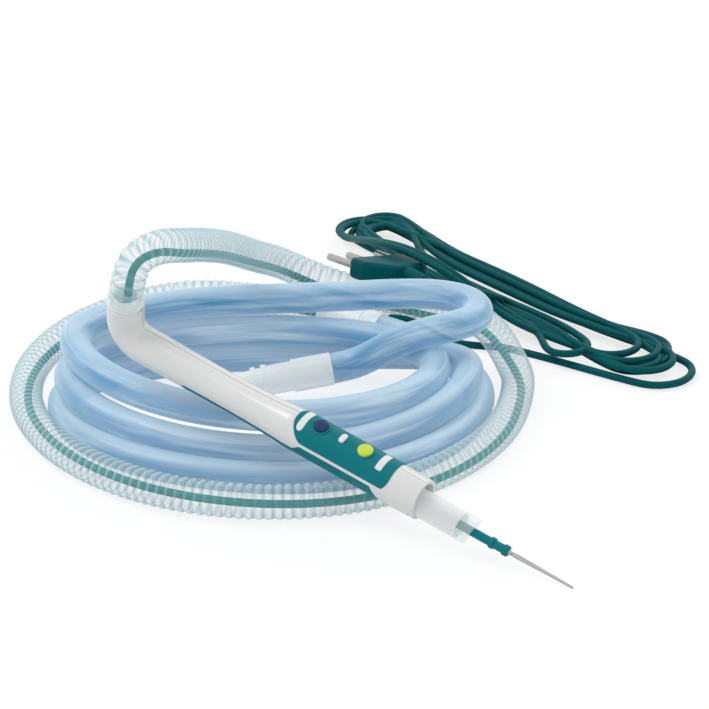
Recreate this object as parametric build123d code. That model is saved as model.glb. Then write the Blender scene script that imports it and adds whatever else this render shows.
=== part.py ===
from build123d import *
import math
import os

# Electrosurgical pencil with smoke evacuation hose, tubing coil, cable and plug.
# The hand piece is drawn in its own frame: X runs along the nozzle's axis towards the tip,
# Y to the left, Z up out of the button panel, and the origin is where the elbow's upright
# axis meets the nozzle's axis. It is then laid down as it rests: nose down, rolled a little.
# All lengths are in millimetres and all angles in degrees.

# How the hand piece lies
PITCH = 13.8
ROLL = 15.0

# Housing: elbow at the rear, straight grip with the panel, tapered nose hood
HOUSING_LENGTH = 174.0
NOSE_LENGTH = 14.0
GRIP_LENGTH = 60.0
GRIP_END = HOUSING_LENGTH - NOSE_LENGTH
GRIP_START = GRIP_END - GRIP_LENGTH
GRIP_HALF_WIDTH = 9.8
GRIP_HALF_HEIGHT = 10.4
GRIP_CENTRE_Z = 3.0
REAR_HALF_WIDTH = 8.7
REAR_HALF_HEIGHT = 8.8
REAR_CENTRE_Z = 2.6
WAIST_SHARE = 0.45
SWELL_SHARE = 0.75
NOSE_HALF_WIDTH = 9.6
NOSE_HALF_HEIGHT = 10.3
NOSE_CENTRE_Z = 2.9
ELBOW_BEND = 11.5
ELBOW_TURN = 90.0
NECK_RADIUS = 9.1
NECK_TOP = 24.0
NECK_WALL = 1.5
WALL = 1.6
BOTTOM_WALL = 0.6
NOTCH_WIDTH = 4.5
NOTCH_HEIGHT = 1.3

# Lower cover: its parting line is low behind and steps up under the panel
COVER_START = 33.0
COVER_REAR_Z = 1.0
COVER_STEP_SETBACK = 6.0
COVER_STEP_LENGTH = 4.0
COVER_FRONT_Z = 4.4
COVER_NOSE_SETBACK = 10.0
COVER_NOSE_LENGTH = 11.0

# Button panel and what stands on it
PANEL_LENGTH = 56.0
PANEL_SETBACK = 1.5
PANEL_END = GRIP_END - PANEL_SETBACK
PANEL_START = PANEL_END - PANEL_LENGTH
PANEL_HALF_WIDTH = 9.35
PANEL_REAR_CORNER = 8.0
PANEL_FRONT_CORNER = 3.0
PANEL_PROUD = 0.35
PANEL_DEPTH = 0.7
PANEL_LOW_Z = 4.8
PLATE_PROUD = 0.25
PLATE_WIDTH = 3.4
PLATE_ROUND_SHARE = 0.49
COAG_PLATE_LENGTH = 13.5
CUT_PLATE_LENGTH = 10.5
CUT_PLATE_CORNER = 0.6
LOCATOR_LENGTH = 5.6
LOCATOR_WIDTH = 3.0
LOCATOR_PROUD = 0.9

# Buttons
COAG_SETBACK = 15.5
BUTTON_SPACING = 25.0
COAG_PLATE_SPACING = 8.5
CUT_PLATE_SPACING = 10.5
COAG_X = GRIP_START + COAG_SETBACK
CUT_X = COAG_X + BUTTON_SPACING
LOCATOR_X = (COAG_X + CUT_X) / 2
COAG_PLATE_X = COAG_X - COAG_PLATE_SPACING
CUT_PLATE_X = CUT_X + CUT_PLATE_SPACING
BUTTON_RADIUS = 3.75
BUTTON_CLEARANCE = 0.06
BUTTON_PROUD = 0.9
BUTTON_DOME = 0.45
BUTTON_EDGE = 0.5
BUTTON_TRAVEL = 0.6
FLANGE_RADIUS = 4.4
FLANGE_THICKNESS = 0.7
FLANGE_TOP_Z = 9.5
PLUNGER_RADIUS = 1.5
RIM_WIDTH = 0.9
RIM_PROUD = 0.35

# Board and snap domes
BOARD_SETBACK = 6.0
BOARD_START = GRIP_START + BOARD_SETBACK
BOARD_LENGTH = 40.0
BOARD_WIDTH = 13.6
BOARD_THICKNESS = 1.0
BOARD_Z = 5.6
DOME_RADIUS = 3.0
DOME_HEIGHT = 0.7
DOME_GAP = 0.05
RAIL_WIDTH = 1.0
RAIL_HEIGHT = 1.0

# Nozzle
NOZZLE_RADIUS = 6.7
NOZZLE_WALL = 1.1
NOZZLE_LENGTH = 37.0
NOZZLE_INSET = 2.0
NOZZLE_START = GRIP_END - NOZZLE_INSET
NOZZLE_END = NOZZLE_START + NOZZLE_LENGTH
NOZZLE_CLEARANCE = 0.06
TIP_INSET = 5.0
TIP_WALL = 1.0
TIP_LENGTH = 8.5
MOUTH_X = NOZZLE_END + TIP_LENGTH
MOUTH_SLOPE = 18.0
MOUTH_EDGE = 0.8
RIB_THICKNESS = 1.6
RIB_INSET = 0.5
RIB_SPACING = 8.0
RIB_X = (GRIP_END + RIB_INSET, GRIP_END + RIB_INSET + RIB_SPACING)

# Electrode and its socket
SHANK_RADIUS = 1.18
SHANK_CLEARANCE = 0.04
SOCKET_LENGTH = 21.0
SOCKET_REACH = 10.0
SOCKET_END = HOUSING_LENGTH + SOCKET_REACH
SOCKET_START = SOCKET_END - SOCKET_LENGTH
SOCKET_RADIUS = 2.0
HOLDER_RADIUS = 3.1
HOLDER_TAPER = 0.6
SPOKE_SETBACK = 21.4
SPOKE_X = GRIP_END - SPOKE_SETBACK
SPOKE_THICKNESS = 2.0
WINDOW_RADIUS = 2.4
WINDOW_RING = 5.2
WINDOW_COUNT = 3
WINDOW_FIRST = 210.0
WINDOW_STEP = 60.0
HUB_LENGTH = 37.0
HUB_END = SOCKET_END + HUB_LENGTH
HUB_RADIUS = 2.1
COLLAR_SETBACK = 8.7
COLLAR_X = HUB_END - COLLAR_SETBACK
COLLAR_RADIUS = 2.75
COLLAR_LENGTH = 2.4
FLANGE_LENGTH = 2.6
HUB_FLANGE_RADIUS = 2.7
HUB_EDGE = 0.3
BLADE_LENGTH = 35.0
BLADE_WIDTH = 2.5
BLADE_TIP_WIDTH = 0.9
BLADE_THICKNESS = 0.55
BLADE_NECK = 4.0
ELECTRODE_PULL = 20.0

# Cable and how it is held in the handle
CABLE_RADIUS = 1.95
CLAMP_X = 34.0
CLAMP_LENGTH = 9.0
CLAMP_HALF_WIDTH = 3.2
CLAMP_LOW_Z = -3.7
CLAMP_GRIP = 0.8
WIRE_RADIUS = 0.55
WIRE_BEND = 2.0
WIRE_GAP = 0.15

# Hose and its cuff
HOSE_RADIUS = 8.5
HOSE_BORE = 6.6
CUFF_TOP = 29.0
CUFF_RADIUS = 8.7
CUFF_BORE = 5.8
CUFF_SEAT = 19.0
CUFF_EDGE = 0.6

# Routes: where hose, tubing and cable lie, point by point, on the floor or over each other
BEND_SHARE = 0.45
SEAM_TURN = 90.0
HOSE_POINTS = [
    (-114.51, -4.22, 88.8), (-112.1, -6.93, 98.6), (-110.3, -1.6, 108), (-108.5, 9, 112),
    (-109.5, 24.5, 107), (-116, 56, 95), (-127.5, 96, 76), (-142, 137, 54), (-152, 176.5, 33),
    (-149, 197.5, 19.5), (-136, 208.5, 11.5), (-115, 214.5, 8.6), (-92, 216, 8.6), (-65, 212, 11),
    (-48, 205.5, 15.5), (-30, 196.5, 15.5), (-10, 181, 9.5), (8.5, 160, 8.6), (30.2, 105.7, 8.6),
    (26, 46, 8.6), (-6.7, -7.3, 8.6), (-62.3, -35.4, 8.6), (-122.7, -34.3, 8.6), (-176.6, -7.9, 8.6),
    (-210.3, 33.4, 8.6), (-224.1, 80.3, 8.6), (-220.4, 120.4, 8.6), (-207, 151, 8.6),
    (-191, 166, 8.6), (-170, 174.5, 8.6), (-146, 176, 9.6), (-122, 176, 9.6),
]
TUBING_RADIUS = 7.75
TUBING_BORE = 6.25
LEAD_POINTS = [(-86, 176, 9.6), (-70, 176, 9.6), (-47, 170.5, 8), (-26, 161, 8), (-8, 141, 8)]
TAIL_POINTS = [(-17, 142, 38), (-32, 135.5, 35.5), (-58.3, 122.3, 19.1), (-73, 109, 16.5)]
CABLE_LEAD_POINTS = [
    (-93.3, 188.7, 9.6), (-85, 197, 9.6), (-70, 197.5, 5), (-55, 196.5, 2), (-40, 201, 2),
    (-27, 208, 2), (-15, 213, 3),
]
CABLE_TAIL_POINTS = [
    (-79.2, 208.35, 27.82), (-68.5, 204.4, 29), (-54.5, 209.5, 28), (-47, 222.5, 21), (-49, 237, 12),
    (-55, 248, 5.5),
]

# Coil of smooth tubing, measured about its own middle
COIL_CENTRE = (-80, 67, 0)
COIL_HOLE_CENTRE = (-83.5, 72, 0)
COIL_TURN = 33.2
COIL_OUTER = (108.0, 66.0)
COIL_UPPER = (107.0, 64.0)
COIL_INNER = (80.0, 40.0)
COIL_UPPER_INNER = (88.0, 38.0)
COIL_SHOULDER = 20.0
COIL_TOP = 47.0
SWATH_START = -20.0
SWATH_WIDTH = 32.0
SWATH_Z = -8.0

# Coupling between hose and tubing, and the cable's gland in its side
COUPLING_START = (-122, 176, 9.6)
COUPLING_END = (-86, 176, 9.6)
COUPLING_RADIUS = 8.9
COUPLING_GRIP = 16.0
COUPLING_GRIP_RADIUS = 9.5
COUPLING_BORE = 6.0
GLAND_START = (-101.1, 180.9, 9.6)
GLAND_END = (-93.3, 188.7, 9.6)
GLAND_RADIUS = 2.4
GLAND_NUT_RADIUS = 3.2
GLAND_SHARE = 0.45
GLAND_TAPER_SHARE = 0.15

# Stepped adapter on the tubing's end: lengths and radii of its steps
ADAPTER_START = (-73, 109, 16.5)
ADAPTER_DIRECTION = (-14.7, -13.3, -2.6)
ADAPTER_CUFF_LENGTH = 18.0
ADAPTER_CUFF_RADIUS = 8.4
ADAPTER_BORE = 5.4
ADAPTER_STEPS = [(2, 8.4), (13, 7.6), (2.5, 8.4), (3, 7), (2.5, 8), (17, 6.6)]

# Hank of cable
HANK_OUTLINE = [
    (-191, 302), (-175, 318), (-149, 315), (-106, 297), (-66, 281), (-14, 270), (32, 260), (50, 257),
    (66, 246), (76, 225), (74, 204), (55, 198), (19, 199), (1, 195), (-10, 201), (-30, 216),
    (-55, 235), (-101, 260), (-146, 263),
]
HANK_BUNDLE = 16.0
HANK_HEIGHT = 9.0

# Plug
PLUG_POSITION = (-116.7, 222, 23.4)
PLUG_YAW = 160.0
PLUG_PITCH = 6.3
PLUG_ROLL = 10.4
PLUG_WIDTH = 44.0
PLUG_REAR_WIDTH = 20.0
PLUG_LENGTH = 26.0
PLUG_SHOULDER = 13.0
PLUG_THICKNESS = 11.0
PLUG_CORNER = 4.0
PLUG_EDGE = 2.5
RELIEF_LENGTH = 14.0
RELIEF_RADIUS = 4.6
RELIEF_END_RADIUS = 2.4
PIN_RADIUS = 2.0
PIN_LENGTH = 24.7
PIN_SEAT = 8.0
PIN_TANG_RADIUS = 1.5
PIN_STEP = 0.6
PIN_EDGE = 0.8
PIN_OFFSETS = (15.875, 3.175, -15.875)

CUT_OVERRUN = 30.0


def section(x, centre_z, half_width, half_height):
    """An upright oval section of the handle at a station."""
    plane = Plane(origin=(x, 0, centre_z), x_dir=(0, 1, 0), z_dir=(1, 0, 0))
    return plane * Ellipse(half_width, half_height)


def elbow_body(wall):
    """The bend behind the grip and the upright neck on it, both round."""
    radius = NECK_RADIUS - wall
    bend_z = REAR_CENTRE_Z + ELBOW_BEND
    bend_axis = Axis((ELBOW_BEND, 0, bend_z), (0, 1, 0))
    bend = revolve(section(ELBOW_BEND, REAR_CENTRE_Z, radius, radius), bend_axis, ELBOW_TURN)
    neck = Pos(0, 0, bend_z) * extrude(Circle(radius), amount=NECK_TOP - bend_z)
    return bend + neck


def rear_body(wall, bottom_wall):
    """The elbow and the rear of the grip, drawn in by a wall."""
    radius = NECK_RADIUS - wall
    width = REAR_HALF_WIDTH - wall
    height = REAR_HALF_HEIGHT - wall
    grip_height = GRIP_HALF_HEIGHT - (wall + bottom_wall) / 2
    grip_centre = GRIP_CENTRE_Z + (bottom_wall - wall) / 2
    parts = [
        section(ELBOW_BEND, REAR_CENTRE_Z, radius, radius),
        section(GRIP_START * WAIST_SHARE, REAR_CENTRE_Z, width, height),
        section(GRIP_START * SWELL_SHARE, REAR_CENTRE_Z, width, height),
        section(GRIP_START, grip_centre, GRIP_HALF_WIDTH - wall, grip_height),
    ]
    return elbow_body(wall) + loft(parts)


def grip_body(wall, bottom_wall):
    """The straight grip with the panel, drawn in by a wall."""
    height = GRIP_HALF_HEIGHT - (wall + bottom_wall) / 2
    centre = GRIP_CENTRE_Z + (bottom_wall - wall) / 2
    outline = section(GRIP_START, centre, GRIP_HALF_WIDTH - wall, height)
    return extrude(outline, amount=GRIP_END - GRIP_START)


def nose_body(wall, bottom_wall):
    """The nose hood, which tapers to its open front."""
    grip_height = GRIP_HALF_HEIGHT - (wall + bottom_wall) / 2
    height = NOSE_HALF_HEIGHT - (wall + bottom_wall) / 2
    shift = (bottom_wall - wall) / 2
    parts = [
        section(GRIP_END, GRIP_CENTRE_Z + shift, GRIP_HALF_WIDTH - wall, grip_height),
        section(HOUSING_LENGTH, NOSE_CENTRE_Z + shift, NOSE_HALF_WIDTH - wall, height),
    ]
    return loft(parts, ruled=True)


def housing_form(wall, bottom_wall):
    """The whole outer form of the housing, or its hollow when a wall is given."""
    return rear_body(wall, bottom_wall) + grip_body(wall, bottom_wall) + nose_body(wall, bottom_wall)


def grip_skin(proud):
    """The grip's straight surface moved out by a small height."""
    outline = section(GRIP_START, GRIP_CENTRE_Z, GRIP_HALF_WIDTH + proud, GRIP_HALF_HEIGHT + proud)
    return extrude(outline, amount=GRIP_END - GRIP_START)


def skin_patch(outline, inner, outer):
    """A thin piece that follows the grip's surface over a flat outline seen from above."""
    column = Pos(0, 0, PANEL_LOW_Z) * extrude(outline, amount=CUT_OVERRUN)
    return (grip_skin(outer) - grip_skin(inner)) & column


def panel_outline():
    """The panel seen from above: wide corners behind, small corners in front."""
    shape = Rectangle(PANEL_LENGTH, 2 * PANEL_HALF_WIDTH)
    rear = shape.vertices().sort_by(Axis.X)[:2]
    shape = fillet(rear, PANEL_REAR_CORNER)
    front = shape.vertices().sort_by(Axis.X)[-2:]
    shape = fillet(front, PANEL_FRONT_CORNER)
    return Pos(PANEL_START + PANEL_LENGTH / 2, 0, 0) * shape


def cover_region():
    """The side profile below the parting line, as a wide block."""
    low = -CUT_OVERRUN
    step_x = GRIP_START + COVER_STEP_SETBACK
    nose_x = GRIP_END - COVER_NOSE_SETBACK
    point_x = nose_x + COVER_NOSE_LENGTH
    outline = Polyline(
        (COVER_START, low),
        (COVER_START, -REAR_HALF_HEIGHT),
        (COVER_START + REAR_HALF_HEIGHT, COVER_REAR_Z),
        (step_x, COVER_REAR_Z),
        (step_x + COVER_STEP_LENGTH, COVER_FRONT_Z),
        (nose_x, COVER_FRONT_Z),
        (point_x, -GRIP_HALF_HEIGHT),
        (point_x, low),
        (COVER_START, low),
    )
    face = make_face(Plane.XZ * outline)
    return extrude(face, amount=CUT_OVERRUN, both=True)


def slab(x, thickness):
    """A thick upright slice across the handle."""
    return Pos(x, 0, 0) * Box(thickness, 2 * CUT_OVERRUN, 2 * CUT_OVERRUN, align=(Align.MIN, Align.CENTER, Align.CENTER))


def rod(x_start, x_end, radius):
    """A round bar along the nozzle's axis."""
    plane = Plane(origin=(x_start, 0, 0), z_dir=(1, 0, 0))
    return extrude(plane * Circle(radius), amount=x_end - x_start)


def post(x, radius, z_low, z_high):
    """A round upright bar at a station of the panel."""
    return Pos(x, 0, z_low) * extrude(Circle(radius), amount=z_high - z_low)


def guide_ribs(hollow):
    """Two ribs that fill the nose and guide the nozzle in their bores."""
    ribs = None
    for x in RIB_X:
        rib = hollow & slab(x, RIB_THICKNESS)
        ribs = rib if ribs is None else ribs + rib
    bore = rod(RIB_X[0] - RIB_THICKNESS, HOUSING_LENGTH, NOZZLE_RADIUS + NOZZLE_CLEARANCE)
    return ribs - bore


def board_rails(hollow):
    """Two rails along the inner sides that carry the board."""
    rail_z = BOARD_Z - RAIL_HEIGHT
    block = Pos(BOARD_START, 0, rail_z) * Box(
        BOARD_LENGTH, 2 * CUT_OVERRUN, RAIL_HEIGHT, align=(Align.MIN, Align.CENTER, Align.MIN)
    )
    gap = Pos(BOARD_START, 0, rail_z) * Box(
        BOARD_LENGTH, BOARD_WIDTH - 2 * RAIL_WIDTH, RAIL_HEIGHT, align=(Align.MIN, Align.CENTER, Align.MIN)
    )
    return (hollow & block) - gap


def button_holes():
    """The two bores that the buttons slide in."""
    radius = BUTTON_RADIUS + BUTTON_CLEARANCE
    coag = post(COAG_X, radius, BOARD_Z + BOARD_THICKNESS, CUT_OVERRUN)
    cut = post(CUT_X, radius, BOARD_Z + BOARD_THICKNESS, CUT_OVERRUN)
    return coag + cut


def cuff_bore():
    """The neck's seat for the hose cuff."""
    return Pos(0, 0, CUFF_SEAT) * extrude(Circle(NECK_RADIUS - NECK_WALL), amount=NECK_TOP - CUFF_SEAT)


def neck_notch():
    """The small slot in the front of the neck's rim."""
    return Pos(0, 0, NECK_TOP - NOTCH_HEIGHT) * Box(
        2 * NECK_RADIUS, NOTCH_WIDTH, NOTCH_HEIGHT, align=(Align.MIN, Align.CENTER, Align.MIN)
    )


def housing_shell():
    """The housing with its hollow, ribs, rails, bores, seam and notch."""
    hollow = housing_form(WALL, BOTTOM_WALL)
    shell = housing_form(0, 0) - hollow
    shell = shell + guide_ribs(hollow) + board_rails(hollow)
    recess = skin_patch(panel_outline(), -PANEL_DEPTH, PANEL_PROUD)
    shell = shell - recess - button_holes() - cuff_bore()
    return shell - neck_notch()


def biggest(shape):
    """The largest solid of a shape, without slivers."""
    return shape.solids().sort_by(SortBy.VOLUME)[-1]


def make_button_panel():
    panel = skin_patch(panel_outline(), -PANEL_DEPTH, PANEL_PROUD)
    rims = None
    for x in (COAG_X, CUT_X):
        ring = Circle(BUTTON_RADIUS + BUTTON_CLEARANCE + RIM_WIDTH)
        rim = skin_patch(Pos(x, 0, 0) * ring, PANEL_PROUD, PANEL_PROUD + RIM_PROUD)
        rims = rim if rims is None else rims + rim
    return biggest(panel + rims - button_holes())


def panel_plate(x, length, corner):
    """A bare white plate that lies across the panel."""
    outline = Pos(x, 0, 0) * RectangleRounded(PLATE_WIDTH, length, corner)
    return biggest(skin_patch(outline, PANEL_PROUD, PANEL_PROUD + PLATE_PROUD))


def make_finger_locator():
    outline = Pos(LOCATOR_X, 0, 0) * SlotOverall(LOCATOR_LENGTH, LOCATOR_WIDTH, rotation=90)
    body = skin_patch(outline, PANEL_PROUD, PANEL_PROUD + LOCATOR_PROUD)
    return fillet(body.faces().sort_by(Axis.Z)[-1].edges(), LOCATOR_PROUD / 2)


def make_button(x):
    """A button: domed cap, shaft through the panel, retaining flange and plunger."""
    top = GRIP_CENTRE_Z + GRIP_HALF_HEIGHT + PANEL_PROUD + BUTTON_PROUD
    cap = post(x, BUTTON_RADIUS, FLANGE_TOP_Z, top)
    cap = fillet(cap.faces().sort_by(Axis.Z)[-1].edges(), BUTTON_EDGE)
    sphere_radius = (BUTTON_RADIUS ** 2 + BUTTON_DOME ** 2) / (2 * BUTTON_DOME)
    dome = Pos(x, 0, top + BUTTON_DOME - sphere_radius) * Sphere(sphere_radius)
    crown = post(x, BUTTON_RADIUS - BUTTON_EDGE, FLANGE_TOP_Z, top + BUTTON_DOME) & dome
    flange = post(x, FLANGE_RADIUS, FLANGE_TOP_Z - FLANGE_THICKNESS, FLANGE_TOP_Z)
    low = BOARD_Z + BOARD_THICKNESS + DOME_HEIGHT + BUTTON_TRAVEL + DOME_GAP
    plunger = post(x, PLUNGER_RADIUS, low, FLANGE_TOP_Z)
    return cap + crown + flange + plunger


def make_circuit_board():
    return Pos(BOARD_START, 0, BOARD_Z) * Box(
        BOARD_LENGTH, BOARD_WIDTH, BOARD_THICKNESS, align=(Align.MIN, Align.CENTER, Align.MIN)
    )


def make_snap_dome(x):
    """A shallow metal dome on the board, flat underneath."""
    base = BOARD_Z + BOARD_THICKNESS
    sphere_radius = (DOME_RADIUS ** 2 + DOME_HEIGHT ** 2) / (2 * DOME_HEIGHT)
    sphere = Pos(x, 0, base + DOME_HEIGHT - sphere_radius) * Sphere(sphere_radius)
    return post(x, DOME_RADIUS + DOME_HEIGHT, base, base + DOME_HEIGHT) & sphere


def make_socket_holder():
    """The stalk in the air way, with the spoked plate that holds it in the handle."""
    hollow = grip_body(WALL, BOTTOM_WALL)
    plate = hollow & slab(SPOKE_X, SPOKE_THICKNESS)
    ceiling = Pos(SPOKE_X, 0, BOARD_Z - RAIL_HEIGHT) * Box(
        SPOKE_THICKNESS, 2 * CUT_OVERRUN, CUT_OVERRUN, align=(Align.MIN, Align.CENTER, Align.MIN)
    )
    plate = plate - ceiling
    for index in range(WINDOW_COUNT):
        turn = math.radians(WINDOW_FIRST + index * WINDOW_STEP)
        place = Plane(
            origin=(SPOKE_X, WINDOW_RING * math.cos(turn), WINDOW_RING * math.sin(turn)), z_dir=(1, 0, 0)
        )
        plate = plate - extrude(place * Circle(WINDOW_RADIUS), amount=SPOKE_THICKNESS)
    stalk = rod(SPOKE_X, SOCKET_END, HOLDER_RADIUS)
    stalk = chamfer(stalk.faces().sort_by(Axis.X)[-1].edges(), HOLDER_TAPER)
    seat = rod(SOCKET_START, SOCKET_END, SOCKET_RADIUS)
    return plate + stalk - seat


def make_electrode_socket():
    body = rod(SOCKET_START, SOCKET_END, SOCKET_RADIUS)
    bore = rod(SOCKET_END - ELECTRODE_PULL, SOCKET_END, SHANK_RADIUS + SHANK_CLEARANCE)
    return body - bore


def make_electrode_hub():
    """The insulating sleeve: plain barrel, collar and end flange."""
    barrel = rod(SOCKET_END, HUB_END, HUB_RADIUS)
    collar = rod(COLLAR_X - COLLAR_LENGTH / 2, COLLAR_X + COLLAR_LENGTH / 2, COLLAR_RADIUS)
    collar = chamfer(collar.edges().filter_by(GeomType.CIRCLE), HUB_EDGE)
    flange = rod(HUB_END - FLANGE_LENGTH, HUB_END, HUB_FLANGE_RADIUS)
    flange = chamfer(flange.edges().filter_by(GeomType.CIRCLE), HUB_EDGE)
    bore = rod(SOCKET_END, HUB_END, SHANK_RADIUS)
    return barrel + collar + flange - bore


def make_electrode_blade():
    """The shank and the blade, which is pressed flat and narrows to its tip."""
    shank_end = HUB_END + BLADE_NECK / 2
    shank = rod(SOCKET_END - ELECTRODE_PULL + DOME_GAP, shank_end, SHANK_RADIUS)
    shank = chamfer(shank.faces().sort_by(Axis.X)[-1].edges(), SHANK_RADIUS / 2)
    half = BLADE_WIDTH / 2
    tip_half = BLADE_TIP_WIDTH / 2
    blade_end = HUB_END + BLADE_LENGTH
    outline = Polyline(
        (HUB_END, -SHANK_RADIUS / 2),
        (HUB_END + BLADE_NECK, -half),
        (blade_end - tip_half, -tip_half),
        (blade_end, 0),
        (blade_end - tip_half, tip_half),
        (HUB_END + BLADE_NECK, half),
        (HUB_END, SHANK_RADIUS / 2),
        (HUB_END, -SHANK_RADIUS / 2),
    )
    blade = extrude(make_face(outline), amount=BLADE_THICKNESS / 2, both=True)
    return shank + blade


def make_nozzle_tube():
    outer = rod(NOZZLE_START, NOZZLE_END, NOZZLE_RADIUS)
    bore = rod(NOZZLE_START, NOZZLE_END, NOZZLE_RADIUS - NOZZLE_WALL)
    return outer - bore


def make_nozzle_tip():
    """The clear mouth: a short sleeve in the tube and a rim cut at a slant."""
    rim = rod(NOZZLE_END, MOUTH_X, NOZZLE_RADIUS)
    rim = fillet(rim.faces().sort_by(Axis.X)[-1].edges(), MOUTH_EDGE)
    inset = rod(NOZZLE_END - TIP_INSET, NOZZLE_END, NOZZLE_RADIUS - NOZZLE_WALL)
    bore = rod(NOZZLE_END - TIP_INSET, MOUTH_X, NOZZLE_RADIUS - NOZZLE_WALL - TIP_WALL)
    body = rim + inset - bore
    slant = Pos(MOUTH_X, 0, NOZZLE_RADIUS) * Rot(0, MOUTH_SLOPE, 0) * Box(
        CUT_OVERRUN, CUT_OVERRUN, 2 * CUT_OVERRUN, align=(Align.MIN, Align.CENTER, Align.CENTER)
    )
    return biggest(body - slant)


def make_hose_cuff():
    """The smooth sleeve that sits in the neck and carries the hose's end."""
    seat = Pos(0, 0, CUFF_SEAT) * extrude(Circle(NECK_RADIUS - NECK_WALL), amount=NECK_TOP - CUFF_SEAT)
    body = Pos(0, 0, NECK_TOP) * extrude(Circle(CUFF_RADIUS), amount=CUFF_TOP - NECK_TOP)
    body = fillet(body.edges().filter_by(GeomType.CIRCLE), CUFF_EDGE)
    bore = Pos(0, 0, CUFF_SEAT) * extrude(Circle(CUFF_BORE), amount=CUFF_TOP - CUFF_SEAT)
    return seat + body - bore


def make_cable_clamp():
    """The saddle under the cable's end, which stands on the housing's floor."""
    height = REAR_CENTRE_Z + CLAMP_GRIP - CLAMP_LOW_Z
    block = Pos(CLAMP_X, 0, CLAMP_LOW_Z) * Box(
        CLAMP_LENGTH, 2 * CLAMP_HALF_WIDTH, height, align=(Align.MIN, Align.CENTER, Align.MIN)
    )
    cable = Pos(0, 0, REAR_CENTRE_Z) * rod(CLAMP_X, CLAMP_X + CLAMP_LENGTH, CABLE_RADIUS)
    return block - cable


def make_conductor_leads():
    """Two wires to the board and one below it to the socket."""
    start = CLAMP_X + CLAMP_LENGTH + WIRE_GAP
    board_end = BOARD_START - WIRE_GAP
    middle = (start + BOARD_START) / 2
    wires = None
    for side in (-1, 1):
        end_z = BOARD_Z + BOARD_THICKNESS / 2
        path = FilletPolyline(
            (start, side * WIRE_RADIUS, REAR_CENTRE_Z),
            (middle, side * CLAMP_HALF_WIDTH, REAR_CENTRE_Z + WIRE_RADIUS),
            (board_end, side * CLAMP_HALF_WIDTH, end_z),
            radius=WIRE_BEND,
        )
        wire = sweep(Plane(path @ 0, z_dir=path % 0) * Circle(WIRE_RADIUS), path)
        wires = wire if wires is None else wires + wire
    path = FilletPolyline(
        (start, 0, REAR_CENTRE_Z - 2 * WIRE_RADIUS),
        (middle, 0, -WIRE_RADIUS),
        (SPOKE_X, 0, 0),
        radius=WIRE_BEND,
    )
    return wires + sweep(Plane(path @ 0, z_dir=path % 0) * Circle(WIRE_RADIUS), path)


def handle_pieces():
    """Every piece of the hand piece, in its own frame."""
    shell = housing_shell()
    region = cover_region()
    return {
        "upper_shell": biggest(shell - region),
        "lower_cover": biggest(shell & region),
        "button_panel": make_button_panel(),
        "coag_button": make_button(COAG_X),
        "cut_button": make_button(CUT_X),
        "finger_locator": make_finger_locator(),
        "coag_plate": panel_plate(COAG_PLATE_X, COAG_PLATE_LENGTH, PLATE_WIDTH * PLATE_ROUND_SHARE),
        "cut_plate": panel_plate(CUT_PLATE_X, CUT_PLATE_LENGTH, CUT_PLATE_CORNER),
        "circuit_board": make_circuit_board(),
        "coag_dome": make_snap_dome(COAG_X),
        "cut_dome": make_snap_dome(CUT_X),
        "socket_holder": make_socket_holder(),
        "electrode_socket": make_electrode_socket(),
        "electrode_hub": make_electrode_hub(),
        "electrode_blade": make_electrode_blade(),
        "nozzle_tube": make_nozzle_tube(),
        "nozzle_tip": make_nozzle_tip(),
        "hose_cuff": make_hose_cuff(),
        "cable_clamp": make_cable_clamp(),
        "conductor_leads": make_conductor_leads(),
    }


def resting_place(pieces):
    """Lays the hand piece down and puts its origin under the middle of its box."""
    turned = Rot(0, PITCH, 0) * Rot(ROLL, 0, 0)
    box = Compound(children=[turned * piece for piece in pieces.values()]).bounding_box()
    middle = box.center()
    return Pos(-middle.X, -middle.Y, -box.min.Z) * turned


def route_path(name, points):
    """Straight runs with an arc at each corner; prints the arcs' radii."""
    places = [Vector(point) for point in points]
    runs = [after - before for before, after in zip(places, places[1:])]
    radii = []
    for run_in, run_out in zip(runs, runs[1:]):
        half_turn = math.radians(run_in.get_angle(run_out)) / 2
        radii.append(BEND_SHARE * min(run_in.length, run_out.length) / math.tan(half_turn))
    path = FilletPolyline(*places, radius=radii, close=False)
    print(name, "length", round(path.length), "smallest radius", round(min(radii), 1))
    return path


def tube(path, radius, bore, seam_turn=0):
    """A tube along a path, solid when its bore is zero."""
    start = Plane(path @ 0, z_dir=path % 0) * Rot(0, 0, seam_turn)
    outline = Circle(radius)
    if bore > 0:
        outline = outline - Circle(bore)
    body = sweep(start * outline, path)
    print("  volume over section times length", round(body.volume / outline.area / path.length, 3))
    return body


def along(start, end):
    """A plane at a start point that looks at an end point."""
    return Plane(origin=start, z_dir=Vector(end) - Vector(start))


def bar(start, end, radius):
    """A round bar between two points."""
    length = (Vector(end) - Vector(start)).length
    return extrude(along(start, end) * Circle(radius), amount=length)


def make_tubing_coil(place, stretches):
    """The coil's turns as one plain solid, hollowed under the hand piece."""
    turn = Rot(0, 0, COIL_TURN)
    low = extrude(Ellipse(*COIL_OUTER), amount=COIL_SHOULDER)
    high = Pos(0, 0, COIL_SHOULDER) * extrude(Ellipse(*COIL_UPPER), amount=COIL_TOP - COIL_SHOULDER)
    body = Pos(*COIL_CENTRE) * turn * (low + high)
    hole = extrude(Ellipse(*COIL_INNER), amount=COIL_SHOULDER)
    high_hole = extrude(Ellipse(*COIL_UPPER_INNER), amount=COIL_TOP)
    body = body - Pos(*COIL_HOLE_CENTRE) * turn * (hole + high_hole)
    swath = Pos(SWATH_START, 0, SWATH_Z) * Box(
        HOUSING_LENGTH, SWATH_WIDTH, HOUSING_LENGTH, align=(Align.MIN, Align.CENTER, Align.MIN)
    )
    body = body - place * swath
    for stretch in stretches:
        body = body - stretch
    return biggest(body)


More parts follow.
